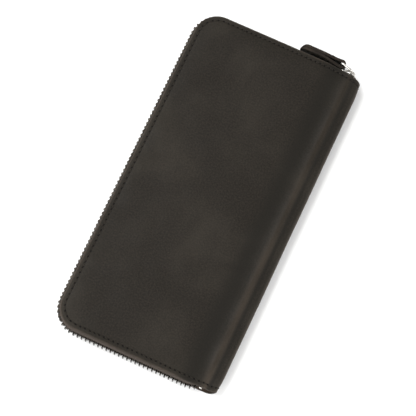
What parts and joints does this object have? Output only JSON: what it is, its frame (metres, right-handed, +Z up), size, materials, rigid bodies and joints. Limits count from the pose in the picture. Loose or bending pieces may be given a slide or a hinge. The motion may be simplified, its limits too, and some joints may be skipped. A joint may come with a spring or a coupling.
{
  "type": "zip-around long wallet",
  "caption": "Closed zip-around long wallet in dark oiled leather, with a wrapped spine, metal zip round three sides, leather pull, card pockets and a zipped coin compartment.",
  "frame": {"origin": "middle of the bounding box at its bottom, on the outside of the back cover", "axes": "+Z up through the thickness from back cover to front cover, +Y along the length towards the closed end of the zip with the slider, +X across towards the spine"},
  "size_m": [0.097, 0.1994, 0.015],
  "materials": {
    "outer_leather": "oiled pull-up leather, satin",
    "lining_leather": "smooth, matte",
    "pocket_leather": "smooth, matte",
    "lining_fabric": "twill",
    "board": "pressed fibre board",
    "zip_tape": "woven tape",
    "zip_coil": "moulded coil",
    "zip_metal": "polished nickel plate"
  },
  "bodies": {
    "back_half": {"back_cover": "outer_leather", "back_stiffener": "board", "back_lining": "lining_leather", "back_bill_divider": "lining_fabric", "back_card_pocket_1": "pocket_leather", "back_card_pocket_2": "pocket_leather", "back_card_pocket_3": "pocket_leather", "back_card_pocket_4": "pocket_leather", "back_zip_tape": "zip_tape", "back_zip_teeth": "zip_metal"},
    "spine": {"spine_cover": "outer_leather", "spine_lining": "lining_leather", "back_top_stop": "zip_metal", "front_top_stop": "zip_metal", "bottom_stop": "zip_metal", "coin_back_panel": "lining_leather", "coin_front_panel": "lining_leather", "coin_back_tape": "zip_tape", "coin_front_tape": "zip_tape", "coin_back_coil": "zip_coil", "coin_front_coil": "zip_coil", "back_gusset_foot": "lining_leather", "front_gusset_foot": "lining_leather", "back_gusset_head": "lining_leather", "front_gusset_head": "lining_leather"},
    "front_half": {"front_cover": "outer_leather", "front_stiffener": "board", "front_lining": "lining_leather", "front_bill_divider": "lining_fabric", "front_card_pocket_1": "pocket_leather", "front_card_pocket_2": "pocket_leather", "front_card_pocket_3": "pocket_leather", "front_card_pocket_4": "pocket_leather", "front_zip_tape": "zip_tape", "front_zip_teeth": "zip_metal"},
    "zip_slider": {"slider_body": "zip_metal", "slider_crown": "zip_metal"},
    "pull_ring": {"pull_ring": "zip_metal"},
    "pull_tab": {"pull_tab": "outer_leather"},
    "coin_slider": {"coin_slider_body": "zip_metal"},
    "coin_pull": {"coin_pull": "zip_metal"}
  },
  "joints": [
    {"name": "spine_fold", "type": "hinge", "parent": "back_half", "child": "spine", "pos_m": [0.041, -0.00215, 0.0007], "axis": [0, 1, 0], "range_deg": [0, 40], "deforming": ["back_zip_tape", "back_gusset_foot", "back_gusset_head"]},
    {"name": "front_fold", "type": "hinge", "parent": "spine", "child": "front_half", "pos_m": [0.041, -0.00215, 0.0143], "axis": [0, 1, 0], "range_deg": [0, 40], "deforming": ["front_zip_tape", "front_gusset_foot", "front_gusset_head"]},
    {"name": "zip_slide", "type": "slide", "parent": "back_half", "child": "zip_slider", "axis": [-0.9996, 0.0286, 0], "range_m": [0, 0.063], "deforming": ["back_zip_teeth", "front_zip_teeth"]},
    {"name": "ring_swing", "type": "hinge", "parent": "zip_slider", "child": "pull_ring", "pos_m": [0.0408, 0.0957, 0.0075], "axis": [0, 0, -1], "range_deg": [0, 120]},
    {"name": "tab_swing", "type": "hinge", "parent": "pull_ring", "child": "pull_tab", "pos_m": [0.0336, 0.09755, 0.0075], "axis": [0, 0, -1], "range_deg": [0, 60]},
    {"name": "coin_zip_slide", "type": "slide", "parent": "spine", "child": "coin_slider", "axis": [0, -1, 0], "range_m": [0, 0.15], "deforming": ["coin_back_coil", "coin_front_coil"]},
    {"name": "coin_pull_swing", "type": "hinge", "parent": "coin_slider", "child": "coin_pull", "pos_m": [-0.0426, 0.07385, 0.0075], "axis": [0, 0, -1], "range_deg": [0, 10]}
  ],
  "couplings": [
    {"joint": "front_fold", "follows": "spine_fold", "ratio": 1}
  ]
}
